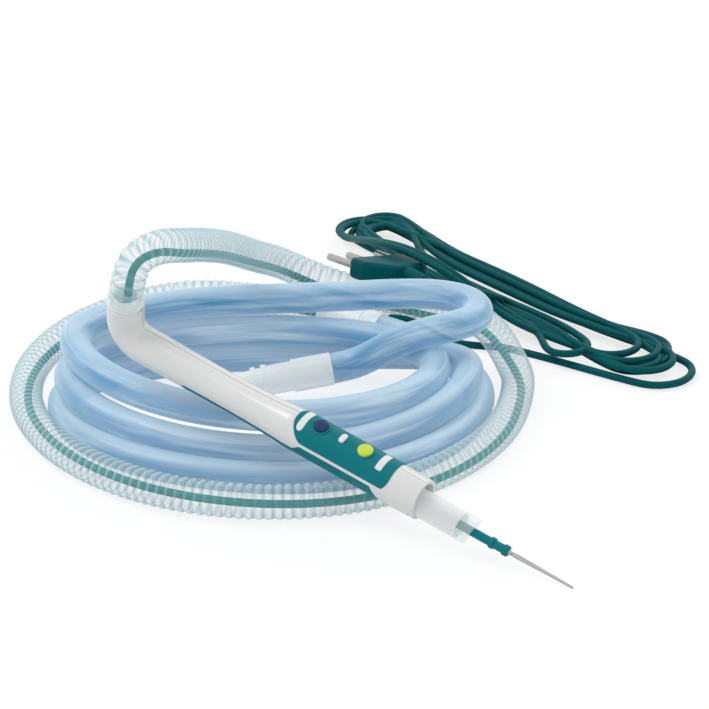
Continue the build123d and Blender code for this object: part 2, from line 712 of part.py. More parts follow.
def make_cable_hank(stretches):
    """The hank's runs as one flat ring."""
    outline = make_face(Polyline(*HANK_OUTLINE, close=True))
    ring = outline - offset(outline, amount=-HANK_BUNDLE)
    body = extrude(ring, amount=HANK_HEIGHT)
    for stretch in stretches:
        body = body - stretch
    return biggest(body)


def make_hose_coupling(gland):
    """A ribbed sleeve that joins the two hoses, with a boss for the gland."""
    body = bar(COUPLING_START, COUPLING_END, COUPLING_RADIUS)
    middle = (Vector(COUPLING_START) + Vector(COUPLING_END)) / 2
    half = Vector(COUPLING_GRIP / 2, 0, 0)
    body = body + bar(middle - half, middle + half, COUPLING_GRIP_RADIUS)
    bore = bar(COUPLING_START, COUPLING_END, COUPLING_BORE)
    return body - bore - gland


def make_cable_gland():
    """The nipple that lets the cable out through the coupling's side."""
    start = Vector(GLAND_START)
    end = Vector(GLAND_END)
    middle = start + (end - start) * GLAND_SHARE
    nipple = bar(start, end, GLAND_RADIUS)
    nut = bar(middle, end - (end - start) * GLAND_TAPER_SHARE, GLAND_NUT_RADIUS)
    return nipple + nut


def adapter_point(distance):
    """A point along the adapter's axis."""
    return Vector(ADAPTER_START) + Vector(ADAPTER_DIRECTION).normalized() * distance


def make_adapter_cuff():
    """The clear cuff that grips the tubing's end."""
    body = bar(adapter_point(0), adapter_point(ADAPTER_CUFF_LENGTH), ADAPTER_CUFF_RADIUS)
    return body - bar(adapter_point(0), adapter_point(ADAPTER_CUFF_LENGTH), ADAPTER_BORE)


def make_stepped_adapter():
    """Barrel, two ridges and a narrower spigot, all with one bore."""
    position = ADAPTER_CUFF_LENGTH
    body = None
    for length, radius in ADAPTER_STEPS:
        step = bar(adapter_point(position), adapter_point(position + length), radius)
        body = step if body is None else body + step
        position = position + length
    return body - bar(adapter_point(ADAPTER_CUFF_LENGTH), adapter_point(position), ADAPTER_BORE)


def plug_place():
    """Where the plug lies on the hose; its own X runs along the pins."""
    return Pos(*PLUG_POSITION) * Rot(0, 0, PLUG_YAW) * Rot(0, PLUG_PITCH, 0) * Rot(PLUG_ROLL, 0, 0)


def make_plug_pins():
    """Three round pins in their uneven row, each on a slimmer tang in the plug."""
    pins = []
    for offset_y in PIN_OFFSETS:
        tang = Pos(0, offset_y, 0) * rod(-PIN_SEAT, PIN_STEP, PIN_TANG_RADIUS)
        pin = Pos(0, offset_y, 0) * rod(PIN_STEP, PIN_LENGTH, PIN_RADIUS)
        pins.append(tang + fillet(pin.faces().sort_by(Axis.X)[-1].edges(), PIN_EDGE))
    return pins


def make_plug_body(pins):
    """The flat plug, which narrows towards the cable."""
    half = PLUG_WIDTH / 2
    rear_half = PLUG_REAR_WIDTH / 2
    outline = Polyline(
        (0, -half),
        (-PLUG_SHOULDER, -half),
        (-PLUG_LENGTH, -rear_half),
        (-PLUG_LENGTH, rear_half),
        (-PLUG_SHOULDER, half),
        (0, half),
        (0, -half),
    )
    flat = make_face(outline)
    flat = fillet(flat.vertices(), PLUG_CORNER)
    body = extrude(flat, amount=PLUG_THICKNESS / 2, both=True)
    body = fillet(body.edges().group_by(Axis.Z)[-1] + body.edges().group_by(Axis.Z)[0], PLUG_EDGE)
    for pin in pins:
        body = body - pin
    return body


def make_plug_relief():
    """The tapered strain relief behind the plug."""
    plane = Plane(origin=(-PLUG_LENGTH, 0, 0), z_dir=(-1, 0, 0))
    end = Plane(origin=(-PLUG_LENGTH - RELIEF_LENGTH, 0, 0), z_dir=(-1, 0, 0))
    return loft([plane * Circle(RELIEF_RADIUS), end * Circle(RELIEF_END_RADIUS)])


def cord_pieces(place):
    """Hose, tubing, cable and the fittings on them, where they lie."""
    clamped = (place * Pos(CLAMP_X + CLAMP_LENGTH, 0, REAR_CENTRE_Z)).position
    elbow = (place * Pos(0, 0, REAR_CENTRE_Z)).position
    inside = [clamped, elbow]
    cable_points = inside + HOSE_POINTS[1:]
    hose_path = route_path("corrugated_hose", HOSE_POINTS)
    inner_path = route_path("inner_cable", cable_points)
    lead = tube(route_path("tubing_lead", LEAD_POINTS), TUBING_RADIUS, TUBING_BORE)
    tail = tube(route_path("tubing_tail", TAIL_POINTS), TUBING_RADIUS, TUBING_BORE)
    lead_room = tube(route_path("tubing_lead", LEAD_POINTS), TUBING_RADIUS, 0)
    tail_room = tube(route_path("tubing_tail", TAIL_POINTS), TUBING_RADIUS, 0)
    cable_lead = tube(route_path("cable_lead", CABLE_LEAD_POINTS), CABLE_RADIUS, 0)
    cable_tail = tube(route_path("cable_tail", CABLE_TAIL_POINTS), CABLE_RADIUS, 0)
    pins = make_plug_pins()
    laid = plug_place()
    gland = make_cable_gland()
    pieces = {
        "corrugated_hose": tube(hose_path, HOSE_RADIUS, HOSE_BORE, SEAM_TURN),
        "inner_cable": tube(inner_path, CABLE_RADIUS, 0),
        "hose_coupling": make_hose_coupling(gland),
        "cable_gland": gland,
        "tubing_lead": lead,
        "tubing_coil": make_tubing_coil(place, [lead_room, tail_room]),
        "tubing_tail": tail,
        "adapter_cuff": make_adapter_cuff(),
        "stepped_adapter": make_stepped_adapter(),
        "cable_lead": cable_lead,
        "cable_hank": make_cable_hank([cable_lead, cable_tail]),
        "cable_tail": cable_tail,
        "plug_relief": laid * make_plug_relief(),
        "plug_body": laid * make_plug_body(pins),
    }
    for number, pin in enumerate(pins, 1):
        pieces["plug_pin_" + str(number)] = laid * pin
    return pieces


def main():
    os.makedirs("parts", exist_ok=True)
    handle = handle_pieces()
    place = resting_place(handle)
    print("place", place.position, place.orientation)
    print("cuff end", (place * Pos(0, 0, CUFF_TOP)).position)
    print("neck way", (place * Pos(0, 0, CUFF_TOP + NECK_TOP)).position)
    for name, piece in handle.items():
        export_step(place * piece, "parts/" + name + ".step")
    for name, piece in cord_pieces(place).items():
        export_step(piece, "parts/" + name + ".step")


main()
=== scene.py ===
# %% [markdown]
# A smoke evacuation pencil with its hose, tubing, cable and plug.
# The frame holds the solids. This script adds the camera, the cords as smooth tubes
# and a material for each surface.

# %% Set up
import math
import bmesh
import bpy
from mathutils import Matrix, Vector


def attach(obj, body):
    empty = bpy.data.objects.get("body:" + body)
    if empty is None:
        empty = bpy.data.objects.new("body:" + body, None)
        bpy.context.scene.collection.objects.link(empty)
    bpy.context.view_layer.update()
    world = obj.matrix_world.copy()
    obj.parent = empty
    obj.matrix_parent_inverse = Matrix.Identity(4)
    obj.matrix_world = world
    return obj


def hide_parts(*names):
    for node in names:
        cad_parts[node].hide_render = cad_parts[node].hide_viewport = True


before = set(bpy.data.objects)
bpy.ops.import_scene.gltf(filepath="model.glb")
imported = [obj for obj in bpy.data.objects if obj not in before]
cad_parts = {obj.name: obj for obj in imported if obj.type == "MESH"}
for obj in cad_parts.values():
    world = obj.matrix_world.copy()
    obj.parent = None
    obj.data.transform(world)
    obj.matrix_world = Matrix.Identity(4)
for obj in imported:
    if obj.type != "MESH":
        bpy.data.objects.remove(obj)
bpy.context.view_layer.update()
MM = 0.001
print("pieces of the frame:", len(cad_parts))

# %% [markdown]
# The camera stands where the photograph was taken from: a little above the hand piece and in
# front of it. A long lens keeps the coil from looking wider in front than behind.

# %% Camera, at the photograph's angle
AIM = Vector((-0.0922, 0.1596, 0.0))
STAND = Vector((0.6908, -1.0365, 0.6577))
camera_data = bpy.data.cameras.new("camera")
camera_data.lens = 152.5
camera_data.sensor_width = 36.0
camera_data.clip_end = 20.0
camera = bpy.data.objects.new("camera", camera_data)
camera.location = STAND
camera.rotation_euler = (AIM - STAND).to_track_quat("-Z", "Y").to_euler()
bpy.context.scene.collection.objects.link(camera)
bpy.context.scene.camera = camera
bpy.context.scene.view_settings.view_transform = "Standard"
print("camera distance", round((AIM - STAND).length, 3))


# %% [markdown]
# A hose lies in one smooth curve. It could be a bevelled curve, but ribs need a radius that
# changes along it. So a NURBS line gives the way, and rings of vertices are set along it.

# %% Lines: a smooth NURBS line through a route's control points
def nurbs_curve(name, points):
    """A curve object in metres from control points in millimetres."""
    data = bpy.data.curves.new(name, "CURVE")
    data.dimensions = "3D"
    data.resolution_u = 12
    spline = data.splines.new("NURBS")
    spline.points.add(len(points) - 1)
    for target, point in zip(spline.points, points):
        target.co = (point[0] * MM, point[1] * MM, point[2] * MM, 1.0)
    spline.order_u = 3
    spline.use_endpoint_u = True
    spline.use_smooth = True
    curve = bpy.data.objects.new(name, data)
    bpy.context.scene.collection.objects.link(curve)
    return curve


def line_points(points):
    """The points that Blender gives for the smooth line."""
    curve = nurbs_curve("line", points)
    mesh = bpy.data.meshes.new_from_object(curve)
    found = [vertex.co.copy() for vertex in mesh.vertices]
    bpy.data.meshes.remove(mesh)
    bpy.data.objects.remove(curve)
    return found


def even_points(points, step):
    """The same line with points a fixed step apart, and its length."""
    marks = [0.0]
    for before, after in zip(points, points[1:]):
        marks.append(marks[-1] + (after - before).length)
    count = max(2, round(marks[-1] / step))
    found = []
    index = 0
    for number in range(count + 1):
        target = marks[-1] * number / count
        while index < len(marks) - 2 and marks[index + 1] < target:
            index += 1
        span = marks[index + 1] - marks[index]
        share = 0.0 if span == 0 else (target - marks[index]) / span
        found.append(points[index].lerp(points[index + 1], share))
    return found, marks[-1]


def rings_along(points):
    """A frame of axes at each point that turns as little as it can."""
    frames = []
    side = None
    for index, point in enumerate(points):
        ahead = points[min(index + 1, len(points) - 1)]
        behind = points[max(index - 1, 0)]
        along = (ahead - behind).normalized()
        if side is None:
            side = along.orthogonal().normalized()
        side = (side - along * side.dot(along)).normalized()
        frames.append((point, side, along.cross(side)))
    return frames


def tube_object(name, points, radii, segments):
    """A closed tube with a radius for each point.

    The attribute 'lie' runs round it and along it, and 'rise' is 1 on its top.
    """
    body = bmesh.new()
    rings = []
    lie = []
    rise = []
    along = 0.0
    before = points[0]
    for (point, side, up), radius in zip(rings_along(points), radii):
        along += (point - before).length
        before = point
        ring = []
        for step in range(segments):
            turn = math.tau * step / segments
            outward = side * math.cos(turn) + up * math.sin(turn)
            ring.append(body.verts.new(point + radius * MM * outward))
            lie.append((math.cos(turn), math.sin(turn), along))
            rise.append(outward.z)
        rings.append(ring)
    for before, after in zip(rings, rings[1:]):
        for step in range(segments):
            following = (step + 1) % segments
            body.faces.new([before[step], before[following], after[following], after[step]])
    body.faces.new(list(reversed(rings[0])))
    body.faces.new(rings[-1])
    mesh = bpy.data.meshes.new(name)
    body.to_mesh(mesh)
    body.free()
    for polygon in mesh.polygons:
        polygon.use_smooth = len(polygon.vertices) == 4
    layer = mesh.attributes.new("lie", "FLOAT_VECTOR", "POINT")
    for item, value in zip(layer.data, lie):
        item.vector = value
    layer = mesh.attributes.new("rise", "FLOAT", "POINT")
    for item, value in zip(layer.data, rise):
        item.value = value
    piece = bpy.data.objects.new(name, mesh)
    bpy.context.scene.collection.objects.link(piece)
    return piece


# %% [markdown]
# These are the points where hose and cable lie. They are the same as those of the solids,
# with a few moved, so that the smooth line passes over the same places.

# %% Routes, in millimetres, as the solids have them
HOSE_ROUTE = [
    (-114.5, -4.2, 88.8), (-110.9, -6.2, 99.2), (-109.4, -1.6, 108.2), (-105.4, 10.6, 110.6),
    (-105.3, 28.2, 104.8), (-113.2, 57.9, 93), (-126.2, 96.8, 75), (-140.3, 138, 52.6), (-152, 176.5, 33),
    (-149, 197.5, 19.5), (-136, 208.5, 11.5), (-115, 214.5, 8.6), (-92, 216, 8.6), (-65, 212, 11),
    (-48, 205.5, 15.5), (-30, 196.5, 15.5), (-10, 181, 9.5), (8.5, 160, 8.6), (30.2, 105.7, 8.6),
    (26, 46, 8.6), (-6.7, -7.3, 8.6), (-62.3, -35.4, 8.6), (-122.7, -34.3, 8.6), (-176.6, -7.9, 8.6),
    (-210.3, 33.4, 8.6), (-224.1, 80.3, 8.6), (-220.4, 120.4, 8.6), (-207, 151, 8.6),
    (-191, 166, 8.6), (-170, 174.5, 8.6), (-146, 176, 9.6), (-122, 176, 9.6),
]
LEAD_ROUTE = [(-86, 176, 9.6), (-70, 176, 9.6), (-47, 170.5, 8), (-26, 161, 8)]
CABLE_ROUTE = [
    (-93.3, 188.7, 9.6), (-85, 197, 9.6), (-70, 197.5, 5), (-55, 196.5, 2), (-40, 201, 2),
    (-27, 208, 2),
]
CABLE_TAIL_ROUTE = [
    (-55, 248, 8), (-49, 237, 14), (-47, 222.5, 22), (-54.5, 209.5, 28), (-68.5, 204.4, 29),
    (-79.2, 208.35, 27.8),
]

# %% [markdown]
# The real hose is blown into rings so that it bends without closing. Six radii, repeated along
# the line, draw one ring: a round crest and a shallower valley.

# %% Ribbed hose: one rib every few millimetres
PITCH = 4.6
HOSE_SIDES = 32
RIB = [8.4, 8.5, 8.25, 7.75, 7.6, 8.0]
hose_line, hose_length = even_points(line_points(HOSE_ROUTE), PITCH * MM / len(RIB))
ribs = [RIB[index % len(RIB)] for index in range(len(hose_line))]
hose = tube_object("ribbed_hose", hose_line, ribs, HOSE_SIDES)
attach(hose, "pencil")
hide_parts("corrugated_hose")
print("hose length", round(hose_length, 3))

# %% [markdown]
# The cable runs inside the clear hose and sinks to its lower side. Its way is the hose's own,
# each point moved down by up to four millimetres, and a little back along the front.

# %% Cable inside the hose: it lies low in it
CABLE_RADIUS = 1.95
CABLE_SIDES = 16
INNER_STEP = 0.003
INNER_SHIFT = [
    (0, 0, 0), (0, 0, 0), (1, 1, -1), (0, 1, -3), (1, 0, -4), (2, 0, -4), (1, -1, -4), (0, 0, -4),
    (0, 0, -4), (0, 0, -4), (0, -1, -4), (0, -2, -4), (0, -2, -4), (0, -1, -4), (0, 0, -4), (0, 0, -4),
    (2, 0, -4), (2, 0, -4), (1, 0, -4), (0, 1, -4), (-2, 2.5, -3), (-2, 3, -2), (-1, 3, -2), (-1, 2.5, -2),
    (0, 2, -3), (-1, 1, -4), (-2, 0, -4), (0, 0, -4), (0, 0, -4), (0, 0, -4), (0, 0, -2), (0, 0, 0),
]
inner_route = [(-79.7, 3.3, 53.4), (-120.6, 2.8, 63.8)]
for point, shift in zip(HOSE_ROUTE[1:], INNER_SHIFT[1:]):
    inner_route.append(tuple(value + move for value, move in zip(point, shift)))
inner_line, inner_length = even_points(line_points(inner_route), INNER_STEP)
inner_cable = tube_object("cable_in_hose", inner_line, [CABLE_RADIUS] * len(inner_line), CABLE_SIDES)
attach(inner_cable, "pencil")
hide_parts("inner_cable")
print("inner cable length", round(inner_length, 3))

# %% [markdown]
# Tubing from a bag springs into loose ovals of unequal size. Each turn is four quarter ovals
# between the points where it lies furthest right, front, left and back. The end folds over.

# %% Coil of smooth tubing: nearly three turns, each with its own size and height
COIL_ORIGIN = Vector((-96.85, 91.35, 0.0))
COIL_TURN = Matrix.Rotation(math.radians(33.2), 3, "Z")
STEPS = 16
TUBING_RADIUS = 7.75
TUBING_SIDES = 36
TUBING_STEP = 0.003
EXTREMES = [
    (106, -8, 8), (10, -105, 8), (-106.5, -18, 8), (0, 35, 8.5),
    (100, -10, 22.5), (5, -89, 14.5), (-102.5, -18, 23), (-10, 33, 24.3),
    (83, -18, 27.5), (5, -78.5, 28), (-100, -9, 38.8), (0, 35, 40.5),
]
FOLD = [
    (36, 33.5, 42.5), (62, 31, 45), (82, 27.5, 46.5), (97, 20, 47), (104.5, 7.5, 47), (101, -6, 46.8),
    (89, -12, 45.5), (74.5, -9.5, 41), (61.5, -4, 33.5), (50, 1.5, 23.5), (39.4, 3.2, 17.8),
    (29.6, 1.7, 16.5),
]


def coil_place(point):
    """From the coil's own axes to the row's."""
    return COIL_ORIGIN + COIL_TURN @ Vector(point)


def quarter_point(before, after, share, sideways_first):
    """A point on the quarter oval between two of the coil's extremes."""
    turn = share * math.pi / 2
    fast = math.sin(turn)
    slow = 1.0 - math.cos(turn)
    ease = share * share * (3.0 - 2.0 * share)
    across = slow if sideways_first else fast
    away = fast if sideways_first else slow
    x = before[0] + (after[0] - before[0]) * across
    y = before[1] + (after[1] - before[1]) * away
    return (x, y, before[2] + (after[2] - before[2]) * ease)


coil_route = []
for number, (before, after) in enumerate(zip(EXTREMES, EXTREMES[1:])):
    for step in range(STEPS // 4):
        point = quarter_point(before, after, step / (STEPS // 4), number % 2 == 0)
        coil_route.append(coil_place(point))
coil_route.append(coil_place(EXTREMES[-1]))
for point in FOLD:
    coil_route.append(coil_place(point))
tubing_route = [Vector(point) for point in LEAD_ROUTE] + coil_route
tubing_line, tubing_length = even_points(line_points(tubing_route), TUBING_STEP)
tubing = tube_object("smooth_tubing", tubing_line, [TUBING_RADIUS] * len(tubing_line), TUBING_SIDES)
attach(tubing, "pencil")
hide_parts("tubing_lead", "tubing_coil", "tubing_tail")
print("tubing length", round(tubing_length, 3))

# %% [markdown]
# The cable is folded into long loops. Each loop has its own ends and waist, so that they fan
# out and cross, and some pass over the plug. A loop function writes the control points.

# %% Hank of cable: long loops with round ends that fan out
HANK_ORIGIN = Vector((-56.0, 259.0, 0.0))
HANK_TURN = Matrix.Rotation(math.radians(-17.8), 3, "Z")
# Right end: along, across, radius. Left end: the same. Then the height, the upper waist,
# and the lower waist, where 0 sends the loop over the plug.
LOOPS = [
    (112, 0, 19, -118, 2, 14, 2.2, 12, -16), (97, -1, 17, -108, 6, 13, 4, 15, -21),
    (90, 3, 20, -121, -2, 16, 6, 10, 0), (99, 2, 15, -110, 0, 13, 6.5, 4, -19),
    (101, -7, 14.5, -104, 3, 16, 7.5, 14, -25), (106, -4, 16, -112, 4, 14, 8, -1, -22),
    (93, -3, 17, -115, 7, 13.5, 9, 8, -20), (84, -6, 15, -113, -8, 15, 9.5, 12, 0),
    (70, -25, 12, -102, 0, 14, 9, -12, -28),
]
WAIST = [(45, 0.75), (-5, 1.0), (-60, 0.9)]
OVER_PLUG = [(-62, -45, 29), (-33, -47, 34), (-6, -43, 30), (22, -31, 13), (46, -26, 8)]
END_TURNS = (-90, -45, 0, 45, 90)
END_REACH = 1.08
CABLE_STEP = 0.0025
FIRST_OVER_PLUG = LOOPS[2][6]


def loop_points(loop, following):
    """The control points of one loop, from its lower side round to its lower side."""
    right, right_across, right_radius, left, left_across, left_radius, height, upper, lower = loop
    found = []
    for turn in END_TURNS:
        angle = math.radians(turn)
        reach = right_radius * END_REACH
        found.append((right + reach * math.cos(angle), right_across + reach * math.sin(angle), height))
    for along, share in WAIST:
        found.append((along, upper * share, height))
    for turn in END_TURNS:
        angle = math.radians(turn)
        reach = left_radius * END_REACH
        found.append((left - reach * math.cos(angle), left_across - reach * math.sin(angle), height))
    if lower == 0:
        shift = (height - FIRST_OVER_PLUG) * 1.3
        found += [(along, across + shift, rise) for along, across, rise in OVER_PLUG]
    else:
        found += [(along, lower * share, height) for along, share in reversed(WAIST)]
    points = []
    for index, (along, across, rise) in enumerate(found):
        rise = rise + (following[6] - height) * index / len(found)
        points.append(HANK_ORIGIN + HANK_TURN @ Vector((along, across, rise)))
    return points


hank_route = []
for number, loop in enumerate(LOOPS):
    hank_route += loop_points(loop, LOOPS[min(number + 1, len(LOOPS) - 1)])
hank_route = hank_route[:-2]
cable_route = [Vector(point) for point in CABLE_ROUTE] + hank_route
cable_route += [Vector(point) for point in CABLE_TAIL_ROUTE]
cable_line, cable_length = even_points(line_points(cable_route), CABLE_STEP)
cable = tube_object("cable", cable_line, [CABLE_RADIUS] * len(cable_line), CABLE_SIDES)
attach(cable, "pencil")
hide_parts("cable_lead", "cable_hank", "cable_tail")
print("cable length", round(cable_length, 3))


# %% [markdown]
# Moulded plastic is never one flat colour, so a node group gives it a faint mottle and grain.
# Clear plastic is see-through face on, denser at its rims and painted paler there as a sheen,
# with a faint painted glow and milky patches from a second group. On the tubing the patches are
# stretched into streaks that also stand in for soft highlights, and its upper side is painted
# paler as if lit from above. The shaders themselves stay in each material.

# %% Materials
def material(name):
    """A new node material with its output and nodes."""
    made = bpy.data.materials.new(name)
    made.use_nodes = True
    nodes = made.node_tree.nodes
    nodes.clear()
    output = nodes.new("ShaderNodeOutputMaterial")
    return made, nodes, made.node_tree.links, output


def socket(group, name, kind, side, value=None):
    """One named input or output of a node group."""
    made = group.interface.new_socket(name=name, in_out=side, socket_type=kind)
    if value is not None:
        made.default_value = value


mottle = bpy.data.node_groups.new("moulded mottle", "ShaderNodeTree")
socket(mottle, "Dark", "NodeSocketColor", "INPUT")
socket(mottle, "Light", "NodeSocketColor", "INPUT")
socket(mottle, "Grain", "NodeSocketFloat", "INPUT", 0.05)
socket(mottle, "Colour", "NodeSocketColor", "OUTPUT")
socket(mottle, "Normal", "NodeSocketVector", "OUTPUT")
given = mottle.nodes.new("NodeGroupInput")
result = mottle.nodes.new("NodeGroupOutput")
place = mottle.nodes.new("ShaderNodeTexCoord")
broad = mottle.nodes.new("ShaderNodeTexNoise")
broad.inputs["Scale"].default_value = 35.0
broad.inputs["Detail"].default_value = 3.0
mottle.links.new(place.outputs["Object"], broad.inputs["Vector"])
blend = mottle.nodes.new("ShaderNodeMix")
blend.data_type = "RGBA"
mottle.links.new(broad.outputs["Fac"], blend.inputs["Factor"])
mottle.links.new(given.outputs["Dark"], blend.inputs["A"])
mottle.links.new(given.outputs["Light"], blend.inputs["B"])
mottle.links.new(blend.outputs["Result"], result.inputs["Colour"])
fine = mottle.nodes.new("ShaderNodeTexNoise")
fine.inputs["Scale"].default_value = 900.0
fine.inputs["Detail"].default_value = 2.0
mottle.links.new(place.outputs["Object"], fine.inputs["Vector"])
bump = mottle.nodes.new("ShaderNodeBump")
bump.inputs["Distance"].default_value = 0.0002
mottle.links.new(given.outputs["Grain"], bump.inputs["Strength"])
mottle.links.new(fine.outputs["Fac"], bump.inputs["Height"])
mottle.links.new(bump.outputs["Normal"], result.inputs["Normal"])

cloud = bpy.data.node_groups.new("milky cloud", "ShaderNodeTree")
socket(cloud, "Amount", "NodeSocketFloat", "INPUT", 0.3)
socket(cloud, "Place", "NodeSocketVector", "INPUT")
socket(cloud, "Mask", "NodeSocketFloat", "OUTPUT")
given = cloud.nodes.new("NodeGroupInput")
result = cloud.nodes.new("NodeGroupOutput")
drift = cloud.nodes.new("ShaderNodeTexNoise")
drift.inputs["Scale"].default_value = 14.0
drift.inputs["Detail"].default_value = 2.0
cloud.links.new(given.outputs["Place"], drift.inputs["Vector"])
patch = cloud.nodes.new("ShaderNodeMapRange")
patch.inputs["From Min"].default_value = 0.42
patch.inputs["From Max"].default_value = 0.68
cloud.links.new(drift.outputs["Fac"], patch.inputs["Value"])
cloud.links.new(given.outputs["Amount"], patch.inputs["To Max"])
cloud.links.new(patch.outputs["Result"], result.inputs["Mask"])


def plastic(name, colour, roughness, grain=0.05, coat=0.0, variation=0.04, shine=0.5):
    """A moulded surface: slight colour variation and a fine grain."""
    made, nodes, links, output = material(name)
    shader = nodes.new("ShaderNodeBsdfPrincipled")
    shader.inputs["Roughness"].default_value = roughness
    shader.inputs["Coat Weight"].default_value = coat
    shader.inputs["Specular IOR Level"].default_value = shine
    shader.inputs["Coat Roughness"].default_value = 0.08
    surface = nodes.new("ShaderNodeGroup")
    surface.node_tree = mottle
    darker = [value * (1.0 - variation * 2) for value in colour]
    lighter = [min(1.0, value * (1.0 + variation)) for value in colour]
    surface.inputs["Dark"].default_value = (*darker, 1.0)
    surface.inputs["Light"].default_value = (*lighter, 1.0)
    surface.inputs["Grain"].default_value = grain
    links.new(surface.outputs["Colour"], shader.inputs["Base Color"])
    links.new(surface.outputs["Normal"], shader.inputs["Normal"])
    links.new(shader.outputs["BSDF"], output.inputs["Surface"])
    return made


def clear(name, face_colour, rim_sheen_colour, face_share, rim_share, roughness, glow,
          milk_and_sheen=0.3, painted_highlights=False, ribs=0.0):
    """Clear plastic: see-through face on, denser at its rims and painted paler there as a sheen, a little
    milky, with a faint painted glow.
    """
    made, nodes, links, output = material(name)
    shader = nodes.new("ShaderNodeBsdfPrincipled")
    shader.inputs["Roughness"].default_value = roughness
    shader.inputs["IOR"].default_value = 1.4
    # Painted glow: the clear plastic gives off a little of its own colour, standing in for light scattered
    # inside it.
    shader.inputs["Emission Strength"].default_value = glow
    weight = nodes.new("ShaderNodeLayerWeight")
    weight.inputs["Blend"].default_value = 0.4
    milky = nodes.new("ShaderNodeGroup")
    milky.node_tree = cloud
    milky.inputs["Amount"].default_value = milk_and_sheen
    paler = nodes.new("ShaderNodeMath")
    paler.operation = "MAXIMUM"
    links.new(weight.outputs["Facing"], paler.inputs[0])
    links.new(milky.outputs["Mask"], paler.inputs[1])
    if painted_highlights:
        # Painted highlights: on the tubing the milky patches are stretched along the tube into pale
        # streaks that stand in for soft highlights.
        lie = nodes.new("ShaderNodeAttribute")
        lie.attribute_name = "lie"
        stretch = nodes.new("ShaderNodeVectorMath")
        stretch.operation = "MULTIPLY"
        stretch.inputs[1].default_value = (0.11, 0.11, 1.1)
        links.new(lie.outputs["Vector"], stretch.inputs[0])
        links.new(stretch.outputs["Vector"], milky.inputs["Place"])
        # Painted light: the tube's upper side is painted paler, as if lit from above.
        height = nodes.new("ShaderNodeAttribute")
        height.attribute_name = "rise"
        top = nodes.new("ShaderNodeMapRange")
        top.inputs["From Min"].default_value = 0.35
        top.inputs["From Max"].default_value = 0.95
        top.inputs["To Max"].default_value = 0.75
        links.new(height.outputs["Fac"], top.inputs["Value"])
        lit = nodes.new("ShaderNodeMath")
        lit.operation = "MAXIMUM"
        links.new(paler.outputs["Value"], lit.inputs[0])
        links.new(top.outputs["Result"], lit.inputs[1])
        paler = lit
    else:
        place = nodes.new("ShaderNodeTexCoord")
        links.new(place.outputs["Object"], milky.inputs["Place"])
    # Painted sheen: the colour turns paler at the rims, and in the milky patches.
    colour = nodes.new("ShaderNodeMix")
    colour.data_type = "RGBA"
    colour.inputs["A"].default_value = (*face_colour, 1.0)
    colour.inputs["B"].default_value = (*rim_sheen_colour, 1.0)
    links.new(paler.outputs["Value"], colour.inputs["Factor"])
    spread = nodes.new("ShaderNodeMapRange")
    spread.inputs["To Min"].default_value = face_share
    spread.inputs["To Max"].default_value = rim_share
    links.new(weight.outputs["Facing"], spread.inputs["Value"])
    tone = colour.outputs["Result"]
    density = spread.outputs["Result"]
    if ribs > 0.0:
        # Painted shade: the hose's rib valleys are painted a darker grey-teal and made more opaque, as if
        # in shade.
        lie = nodes.new("ShaderNodeAttribute")
        lie.attribute_name = "lie"
        split = nodes.new("ShaderNodeSeparateXYZ")
        turn = nodes.new("ShaderNodeMath")
        turn.operation = "MULTIPLY"
        turn.inputs[1].default_value = math.tau / ribs
        wave = nodes.new("ShaderNodeMath")
        wave.operation = "SINE"
        valley = nodes.new("ShaderNodeMapRange")
        valley.inputs["From Min"].default_value = 0.1
        valley.inputs["From Max"].default_value = -0.9
        links.new(lie.outputs["Vector"], split.inputs["Vector"])
        links.new(split.outputs["Z"], turn.inputs[0])
        links.new(turn.outputs["Value"], wave.inputs[0])
        links.new(wave.outputs["Value"], valley.inputs["Value"])
        shaded = nodes.new("ShaderNodeMix")
        shaded.data_type = "RGBA"
        shaded.inputs["B"].default_value = (0.3, 0.52, 0.57, 1.0)
        links.new(valley.outputs["Result"], shaded.inputs["Factor"])
        links.new(tone, shaded.inputs["A"])
        tone = shaded.outputs["Result"]
        valley_shade_density = nodes.new("ShaderNodeMath")
        valley_shade_density.operation = "MULTIPLY_ADD"
        valley_shade_density.inputs[1].default_value = 0.16
        links.new(valley.outputs["Result"], valley_shade_density.inputs[0])
        links.new(density, valley_shade_density.inputs[2])
        density = valley_shade_density.outputs["Value"]
    links.new(tone, shader.inputs["Base Color"])
    links.new(tone, shader.inputs["Emission Color"])
    links.new(density, shader.inputs["Alpha"])
    links.new(shader.outputs["BSDF"], output.inputs["Surface"])
    return made


def metal(name, colour, roughness):
    """A metal whose roughness changes slightly over it."""
    made, nodes, links, output = material(name)
    shader = nodes.new("ShaderNodeBsdfPrincipled")
    shader.inputs["Base Color"].default_value = (*colour, 1.0)
    shader.inputs["Metallic"].default_value = 1.0
    place = nodes.new("ShaderNodeTexCoord")
    noise = nodes.new("ShaderNodeTexNoise")
    noise.inputs["Scale"].default_value = 400.0
    spread = nodes.new("ShaderNodeMapRange")
    spread.inputs["To Min"].default_value = roughness * 0.7
    spread.inputs["To Max"].default_value = roughness * 1.3
    links.new(place.outputs["Object"], noise.inputs["Vector"])
    links.new(noise.outputs["Fac"], spread.inputs["Value"])
    links.new(spread.outputs["Result"], shader.inputs["Roughness"])
    links.new(shader.outputs["BSDF"], output.inputs["Surface"])
    return made


shell_white = plastic("shell_white", (0.78, 0.775, 0.75), 0.25, grain=0.05, coat=0.3, variation=0.01)
